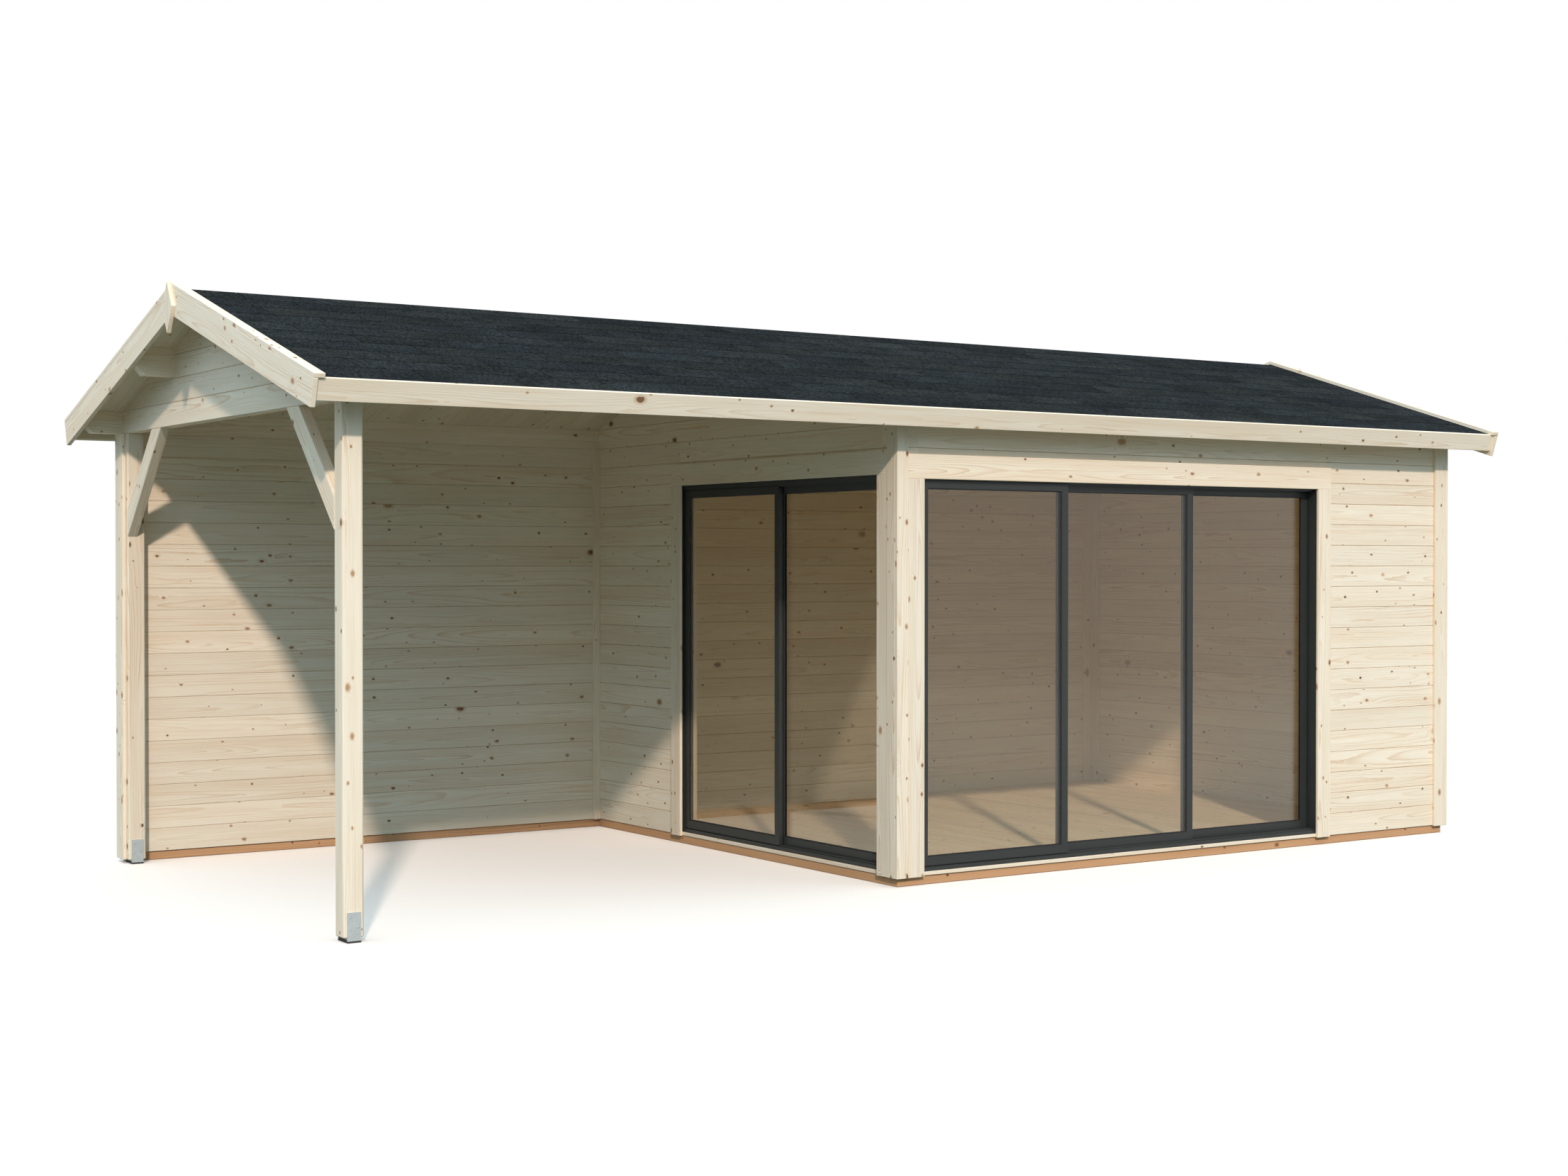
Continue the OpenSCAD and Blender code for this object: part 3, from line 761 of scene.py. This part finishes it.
def gable_boards(boards, outer, inner, half):
    """A gable's boards, up to half its depth from the ridge, cut at the slots and the roof."""
    for z0, z1 in bands(gable_foot, ridge_top - PEAK_CUT):
        reach = min(half, (ridge_top - z0) / SLOPE)
        bend = (ridge_top - z1) / SLOPE
        cuts = [(y0, y1) for y0, y1, z in slots if z <= z0 + SAME and y0 < reach and y1 > -reach]
        ends = [-reach] + [y for cut in cuts for y in cut] + [reach]
        stops = {0.0, half, -half, bend, -bend} | {y for slot in slots for y in slot[:2]}
        for y0, y1 in zip(ends[::2], ends[1::2]):
            if y1 - y0 < LEAST_LENGTH:
                continue
            top = []
            for y in sorted((s for s in stops | {y0, y1} if y0 <= s <= y1), reverse=True):
                for side, inside in ((1, y < y1), (-1, y > y0)):
                    point = (y, board_top(y, z1, side))
                    if inside and point[1] > z0 + SAME and (not top or top[-1] != point):
                        top.append(point)
            outline = np.array([(y0, z0), (y1, z0)] + top)
            boards.plank(0, outer, inner, outline, (WALL_JOINT, ROOM_JOINT), Y)


# Each gable with the way along X that its outer face looks.
GABLES = (("left_gable", -1), ("return_gable", -1), ("right_gable", 1))
for seed, (node, outward) in enumerate(GABLES, 40):
    low, high = box_of(node)
    outer, inner = (high[0], low[0]) if outward > 0 else (low[0], high[0])
    boards = Boards(seed)
    gable_boards(boards, outer, inner, high[1])
    boards.piece(node + "_boards", spruce, "house", "spruce", node)

# ---- Plates and purlins, with a slope cut below each free end ----


def roof_timber(boards, solid):
    """A timber along the house whose top follows the roof."""
    x0, x1 = solid[:, 0].min(), solid[:, 0].max()
    low, high = solid[:, 1:].min(0), solid[:, 1:].max(0)
    outline = [(low[0], low[1]), (high[0], low[1]), (high[0], min(under_roof(high[0]), high[1]))]
    if low[0] < 0 < high[0]:
        outline.append((0.0, high[1]))
    outline.append((low[0], min(under_roof(low[0]), high[1])))
    full = chamfered(np.array(outline), BOARD_BEVEL)
    lifted = full.copy()
    lifted[full[:, 1] < low[1] + 2 * BOARD_BEVEL, 1] += END_CUT
    tip = inset(lifted, TIP_BEVEL)
    rings = [
        place(0, x0, tip), place(0, x0 + TIP_BEVEL, lifted), place(0, x0 + END_CUT, full),
        place(0, x1 - END_CUT, full), place(0, x1 - TIP_BEVEL, lifted), place(0, x1, tip),
    ]
    boards.loft(rings, X, Z)


for seed, node in enumerate(("wall_plates", "middle_purlins", "ridge_purlin"), 50):
    boards = Boards(seed)
    for solid in parts_of(node):
        roof_timber(boards, solid)
    boards.piece(node + "_timbers", spruce, "house", "spruce", node)

# ---- Roof boards: they run from the ridge to the eaves, with V-joints on their undersides ----


def roof_boards(node, side, seed):
    """The boards of one slope; their ends at the eave are cut square to it."""
    low, high = box_of(node)
    reach = max(abs(low[1]), abs(high[1])) - EAVE_PLAY
    peak = high[2]
    end = np.array([side * reach, peak - reach * SLOPE])
    square_cut = np.array([-side * math.sin(ROOF_PITCH), -math.cos(ROOF_PITCH)]) * ROOF_BOARD_T
    outline = np.array([
        (0, peak - ROOF_BOARD_T / math.cos(ROOF_PITCH)), (0, peak), end, end + square_cut,
    ])
    raised = outline + [(0, ROOF_JOINT), (0, 0), (0, 0), (0, ROOF_JOINT)]
    boards = Boards(seed)
    for x0, x1 in strips(low[0], high[0], ROOF_BOARD_W):
        rings = [
            place(0, x0, raised), place(0, x0 + ROOF_JOINT, outline),
            place(0, x1 - ROOF_JOINT, outline), place(0, x1, raised),
        ]
        boards.loft(rings, np.array([0, side, -SLOPE]), X)
    boards.piece(node + "_planks", spruce, "house", "spruce", node)


roof_boards("front_roof_boards", -1, 60)
roof_boards("back_roof_boards", 1, 61)

# ---- Shingles: rows of tabs on felt, each row tucked under the one above it ----

# What shows of a row down the slope, and of the lowest row; each runs on by TUCK under the row
# above it. No row is made whose lower edge lies within LEAST_ROW of the ridge, and the highest row
# stops RIDGE_PLAY short of it.
ROW = 0.1739
BOTTOM_ROW = 0.216
TUCK = 0.030
LEAST_ROW = 0.05
RIDGE_PLAY = 0.003
# Tabs: their width with one slit, thickness, the slit, and how uneven their lower edges are.
TAB = 0.437
TAB_T = 0.0023
SLIT = 0.006
LEAST_TAB = 0.01
UNEVEN = 0.0012
# Place of one slit of the lowest row; every second row is shifted by half a tab.
SLIT_X = -3.0375
# The felt below them, and how far it and the tabs end inside the roof's edges.
FELT_T = 0.0014
FELT_TONE = (0.1, 0.5, 0.5)
LIFT = 0.0004
FELT_SETBACK = 0.002
SHINGLE_SETBACK = 0.0005
GRAIN_RANGE = 9

boards_peak = box_of("front_roof_boards")[1][2]


def roof_point(side, x, s, h):
    """A point on a roof slope: s down the slope from the ridge and h above the boards."""
    c, t = math.cos(ROOF_PITCH), math.sin(ROOF_PITCH)
    return np.array([x, side * (s * c + h * t), boards_peak - s * t + h * c])


def sheet(boards, side, x_range, s_range, heights, thick, tone=None):
    """A thin plate on a slope; heights: those above the boards of its upper and lower edge."""
    (x0, x1), (s0, s1), (h0, h1) = x_range, s_range, heights
    corners = [(x0, s0, h0), (x1, s0, h0), (x1, s1, h1), (x0, s1, h1)]
    under = np.array([roof_point(side, *corner) for corner in corners])
    over = np.array([roof_point(side, x, s, h + thick) for x, s, h in corners])
    down = np.array([0, side * math.cos(ROOF_PITCH), -math.sin(ROOF_PITCH)])
    offset = boards.random.uniform(0, GRAIN_RANGE, 3)
    boards.loft([under, over], X, down, origin=np.zeros(3), offset=offset, tone=tone)


def roofing(node, side, seed):
    """The felt and the tabs of one slope, row by row from the eave up."""
    low, high = box_of(node)
    reach = max(abs(low[1]), abs(high[1])) / math.cos(ROOF_PITCH)
    x_low, x_high = low[0] + SHINGLE_SETBACK, high[0] - SHINGLE_SETBACK
    boards = Boards(seed)
    sheet(
        boards, side, (x_low, x_high), (0.0, reach - FELT_SETBACK), (LIFT, LIFT), FELT_T, FELT_TONE,
    )
    lower = reach - SHINGLE_SETBACK
    upper = lower - BOTTOM_ROW
    shift = 0
    while lower > LEAST_ROW:
        first = SLIT_X - shift
        first -= math.ceil((first - x_low) / TAB) * TAB
        slits = np.arange(first, x_high + TAB, TAB)
        for a, b in zip(slits[:-1], slits[1:]):
            left, right = max(a + SLIT / 2, x_low), min(b - SLIT / 2, x_high)
            if right - left < LEAST_TAB:
                continue
            wobble = boards.random.uniform(-UNEVEN, UNEVEN)
            ends = (max(upper - TUCK, RIDGE_PLAY), lower + min(wobble, 0))
            sheet(boards, side, (left, right), ends, (LIFT + FELT_T, LIFT + FELT_T + TAB_T), TAB_T)
        lower, upper = upper, max(upper - ROW, 0.0)
        shift = TAB / 2 - shift
    boards.piece(node + "_shingles", shingles, "house", "bitumen_shingles", node)


roofing("front_roofing", -1, 70)
roofing("back_roofing", 1, 71)

# ---- Fascias: nailed square to the ends of the roof boards, so their faces lean in below ----

boards = Boards(80)
for solid in parts_of("fascia_boards"):
    low, high = solid.min(0), solid.max(0)
    side = np.sign(low[1])
    corner = np.array([side * max(abs(low[1]), abs(high[1])), high[2]])
    inwards = np.array([-side * math.cos(ROOF_PITCH), math.sin(ROOF_PITCH)]) * (high[1] - low[1])
    downwards = np.array([-side * math.sin(ROOF_PITCH), -math.cos(ROOF_PITCH)])
    downwards *= (high[2] - low[2]) / math.cos(ROOF_PITCH)
    outline = np.array([corner, corner + inwards, corner + inwards + downwards, corner + downwards])
    boards.bar(0, low[0], high[0], outline[::int(-side)], BOARD_BEVEL, X, [0, *downwards])
boards.piece("fascia", spruce, "house", "spruce", "fascia_boards")

# ---- Barge boards, cap strips, braces and diamonds ----


def slanted(name, seed, node, bevel):
    """Boards with their outline in the gable's plane, and their grain along their longest edge."""
    boards = Boards(seed)
    for solid in parts_of(node):
        outline = section_of(solid, 0)
        steps = np.roll(outline, -1, 0) - outline
        along = np.array([0, *steps[np.argmax(np.linalg.norm(steps, axis=1))]])
        boards.bar(
            0, solid[:, 0].min(), solid[:, 0].max(), outline, bevel, along, np.cross(X, along),
        )
    boards.piece(name, knotty_spruce, "house", "spruce", node)


slanted("barge_boards_front", 81, "front_barge_boards", BOARD_BEVEL)
slanted("barge_boards_back", 82, "back_barge_boards", BOARD_BEVEL)
slanted("cap_strips_front", 83, "front_cap_strips", BOARD_BEVEL)
slanted("cap_strips_back", 84, "back_cap_strips", BOARD_BEVEL)
slanted("braces", 85, "post_braces", BEAM_BEVEL)

boards = Boards(86)
for solid in parts_of("peak_diamonds"):
    boards.bar(0, solid[:, 0].min(), solid[:, 0].max(), section_of(solid, 0), FINE_BEVEL, Z, Y)
boards.piece("diamonds", spruce, "house", "spruce", "peak_diamonds")

# ---- Posts, casings and corner boards ----

timbers("posts", knotty_spruce, "spruce", 90, "terrace_posts", bevel=POST_BEVEL)
timbers("terrace_batten", spruce, "spruce", 91, "inner_corner_batten")
timbers("side_casings", knotty_spruce, "spruce", 92, "door_side_casings", bevel=BOARD_BEVEL)
timbers("head_boards", spruce, "spruce", 93, "door_head_boards", bevel=BOARD_BEVEL)
timbers("sill_boards", spruce, "spruce", 94, "door_sill_boards")


def corner_pair(boards, solid, out_x, out_y, thick):
    """Two boards round a corner: the one on the front or back face laps the end of the other."""
    low, high = solid.min(0), solid.max(0)
    face_y = (high[1] - thick, high[1]) if out_y > 0 else (low[1], low[1] + thick)
    side_x = (high[0] - thick, high[0]) if out_x > 0 else (low[0], low[0] + thick)
    side_y = (low[1], face_y[0]) if out_y > 0 else (face_y[1], high[1])
    boards.timber((low[0], face_y[0], low[2]), (high[0], face_y[1], high[2]), BOARD_BEVEL)
    boards.timber((side_x[0], side_y[0], low[2]), (side_x[1], side_y[1], high[2]), BOARD_BEVEL)


boards = Boards(95)
corner_pair(boards, parts_of("corner_post")[0], -1, -1, CORNER_BOARD_T)
boards.piece("corner_boards", knotty_spruce, "house", "spruce", "corner_post")

# The back left corner has one board behind the wall and the cover board on the post's outer face.
boards = Boards(116)
post_face = post_low[0]
for solid in parts_of("corner_trims"):
    if solid[:, 0].max() > 0:
        corner_pair(boards, solid, 1, np.sign(solid[:, 1].mean()), TRIM_T)
    else:
        boards.timber((post_face, back_wall_high[1], solid[:, 2].min()), solid.max(0), BOARD_BEVEL)
cover_low = (post_face - COVER_T, COVER_Y, post_low[2])
boards.timber(cover_low, (post_face, COVER_Y + COVER_W, plate_z), BOARD_BEVEL)
boards.piece("corner_trim_boards", knotty_spruce, "house", "spruce", "corner_trims")

boards = Boards(97)
for solid in parts_of("room_trims"):
    if solid[:, 0].max() < 0:
        boards.timber(solid.min(0), solid.max(0), BOARD_BEVEL)
    else:
        corner_pair(boards, solid, 1, 1, TRIM_T)
boards.piece("room_trim_boards", spruce, "house", "spruce", "room_trims")

# ---- Glazing gaskets, round both faces of the glass in each door leaf ----

# How deep the glass stands in its frame, and the gasket's section: how far in from the frame and
# how far out from the glass its corners lie.
REBATE = 0.010
GASKET = ((0.0, 0.0), (0.0055, 0.0), (0.004, 0.0028), (0.0015, 0.0045), (0.0, 0.0045))


def gaskets(door, thin):
    """The gaskets of one leaf, whose glass is thin along this axis."""
    low, high = box_of(door + "_glass")
    run = 1 - thin
    strip = Boards(100)
    for face, outward in ((low[thin], -1), (high[thin], 1)):
        rings = []
        for turn_run, turn_z in ((1, 1), (-1, 1), (-1, -1), (1, -1)):
            ring = np.zeros((len(GASKET), 3))
            for point, (inward, height) in zip(ring, GASKET):
                point[run] = (low if turn_run > 0 else high)[run] + turn_run * (REBATE + inward)
                point[2] = (low if turn_z > 0 else high)[2] + turn_z * (REBATE + inward)
                point[thin] = face + outward * height
            rings.append(ring)
        strip.loft(rings, Z, X, looped=True)
    body = door + "_leaf" if door + "_leaf" in frame["bodies"] else "house"
    strip.piece(door + "_gaskets", black_for_gaskets_and_shade, body, None)


for door in ("front_left", "front_middle", "front_right"):
    gaskets(door, 1)
for door in ("side_near", "side_far"):
    gaskets(door, 0)

# ---- Screws in the post brackets, and blocks of painted shade under the posts ----

SCREW_R = 0.0055
SCREW_H = 0.0032
SCREW_SIDES = 20
# A pan head with a recess: radii and heights as shares of SCREW_R and SCREW_H.
SCREW_PROFILE = (
    (1.0, -0.1), (1.0, 0.25), (0.93, 0.6), (0.75, 0.88),
    (0.5, 1.0), (0.42, 0.97), (0.36, 0.45), (0.2, 0.4),
)
# Distance of the screws from a strap's sides, and of the upper and lower one from its top.
SCREW_EDGE = 0.014
SCREW_DOWN = (0.020, 0.062)
# How far the black blocks of painted shade lie inside the straps, and their foot and top.
SHADE_BLOCK_INSET = 0.0045
SHADE_BLOCK_Z = (0.0005, 0.016)
SHADE_BLOCK_BEVEL = 0.001


def screw(boards, at, outward, x, z):
    """A screw head on a face that looks along outward times Y."""
    rings = [
        place(
            1, at + outward * SCREW_H * height,
            np.array([x, z]) + circle(SCREW_SIDES) * SCREW_R * radius,
        )
        for radius, height in SCREW_PROFILE
    ]
    boards.loft(rings, Z, X)


screws = Boards(101)
# Black blocks under the posts, between the straps, paint the shade in the gap there.
shade_blocks = Boards(102)
for solid in parts_of("post_brackets"):
    low, high = solid.min(0), solid.max(0)
    for at, outward in ((low[1], -1), (high[1], 1)):
        screw(screws, at, outward, low[0] + SCREW_EDGE, high[2] - SCREW_DOWN[0])
        screw(screws, at, outward, high[0] - SCREW_EDGE, high[2] - SCREW_DOWN[1])
    shade_blocks.timber(
        (low[0], low[1] + SHADE_BLOCK_INSET, SHADE_BLOCK_Z[0]), (high[0], high[1] - SHADE_BLOCK_INSET, SHADE_BLOCK_Z[1]), SHADE_BLOCK_BEVEL,
    )
screws.piece("bracket_screws", steel, "house", "galvanised_steel")
shade_blocks.piece("bracket_shade_blocks", black_for_gaskets_and_shade, "house", None)

# ---- CAD nodes that stay, with materials of their own ----

for name, node in frame["nodes"].items():
    kept = None
    if name.endswith(("_panel", "_frame")):
        kept = anthracite
    elif name.endswith("_glass"):
        kept = glass
    # The brackets' zinc, painted black at the foot as shade.
    elif name == "post_brackets":
        kept = shade_footed_steel
    if kept:
        for slot in node.material_slots:
            slot.material = kept

# ---- Camera and sun, with angles in degrees ----

LENS = 50.59
SENSOR = 36
CAMERA_PLACE = (-6.821, -9.939, 1.551)
CAMERA_TILT = -0.66
CAMERA_TURN = -33.69
SUN_ENERGY = 2.25
SUN_COLOUR = (1.07, 0.92, 0.83)
SUN_ANGLE = 2.5
SUN_WAY = (0.52, 1, -0.70)

camera_data = bpy.data.cameras.new("camera")
camera_data.lens = LENS
camera_data.sensor_width = SENSOR
camera = add_object("camera", camera_data)
camera.location = CAMERA_PLACE
camera.rotation_euler = (math.radians(90 + CAMERA_TILT), 0, math.radians(CAMERA_TURN))
bpy.context.scene.camera = camera

sun_data = bpy.data.lights.new("sun", "SUN")
sun_data.energy = SUN_ENERGY
sun_data.color = SUN_COLOUR
sun_data.angle = math.radians(SUN_ANGLE)
sun = add_object("sun", sun_data)
sun.rotation_euler = Vector(SUN_WAY).to_track_quat("-Z", "Y").to_euler()

# ---- Sky: white where it is seen, and a cool fill that is stronger from above ----

# Strength at the horizon and higher up, and the sine of the angle at which it stops rising.
FILL_LOW = 0.37
FILL_HIGH = 1.18
FILL_RISE = 0.42
FILL_COLOUR = (0.77, 1.0, 1.17)


def seen_directly(n):
    """1 for rays from the camera and for those that gloss and glass send on, or else 0."""
    path = n.node("LightPath")
    value = path.outputs["Is Camera Ray"]
    for name in ("Is Glossy Ray", "Is Transmission Ray"):
        value = n.math("MAXIMUM", value, path.outputs[name])
    return value


bpy.context.scene.world = bpy.data.worlds.new("world")
n = Nodes(bpy.context.scene.world, "OutputWorld")
climb = n.split(n.node("TexCoord").outputs["Generated"])[2]
strength = n.smooth(climb, 0, FILL_RISE, FILL_LOW, FILL_HIGH)
fill = n.node("Background", None, {"Color": FILL_COLOUR, "Strength": strength})
white = n.node("Background", None, {"Color": WHITE, "Strength": 1.0})
n.finish(n.node("MixShader", None, {0: seen_directly(n), 1: fill, 2: white}))

# ---- Floor: a pale disc that fades out, and matt green-grey for the light that it throws back ----

# The floor fades out between the two distances of FADE. It throws back FLOOR_THROWS, and is seen as
# FLOOR_PALE, with a little glow.
FLOOR_Z = -0.0005
FLOOR_RADII = (4, 8, 12, 16, 24, 40)
FLOOR_SIDES = 72
FADE = (7.0, 26.0)
FLOOR_THROWS = (0.070, 0.095, 0.070)
FLOOR_PALE = (0.84, 0.76, 0.68)
FLOOR_GLOW = 0.18

points = [(0.0, 0.0, FLOOR_Z)]
for radius in FLOOR_RADII:
    points += [(radius * x, radius * y, FLOOR_Z) for x, y in circle(FLOOR_SIDES).tolist()]
faces = []
for i in range(FLOOR_SIDES):
    j = (i + 1) % FLOOR_SIDES
    faces.append((0, 1 + i, 1 + j))
    for k in range(len(FLOOR_RADII) - 1):
        a, b = 1 + k * FLOOR_SIDES, 1 + (k + 1) * FLOOR_SIDES
        faces.append((a + i, b + i, b + j, a + j))
floor_mesh = bpy.data.meshes.new("floor")
floor_mesh.from_pydata(points, [], faces)
floor = add_object("floor", floor_mesh)

n = material_nodes("floor")
distance = n.node("VectorMath", {"operation": "LENGTH"}, {0: n.position()}).outputs["Value"]
matt = n.node("BsdfDiffuse", None, {"Color": FLOOR_THROWS})
pale = n.node("BsdfDiffuse", None, {"Color": FLOOR_PALE})
glow = n.node("Emission", None, {"Color": WHITE, "Strength": FLOOR_GLOW})
bright = n.node("AddShader", None, {0: pale, 1: glow})
paint = n.node("MixShader", None, {0: seen_directly(n), 1: matt, 2: bright})
nothing = n.node("BsdfTransparent", None, {"Color": WHITE})
faded = n.node("MixShader", None, {0: n.smooth(distance, *FADE), 1: paint, 2: nothing})
floor_mesh.materials.append(n.finish(faded))

bpy.context.scene.view_settings.view_transform = "Standard"
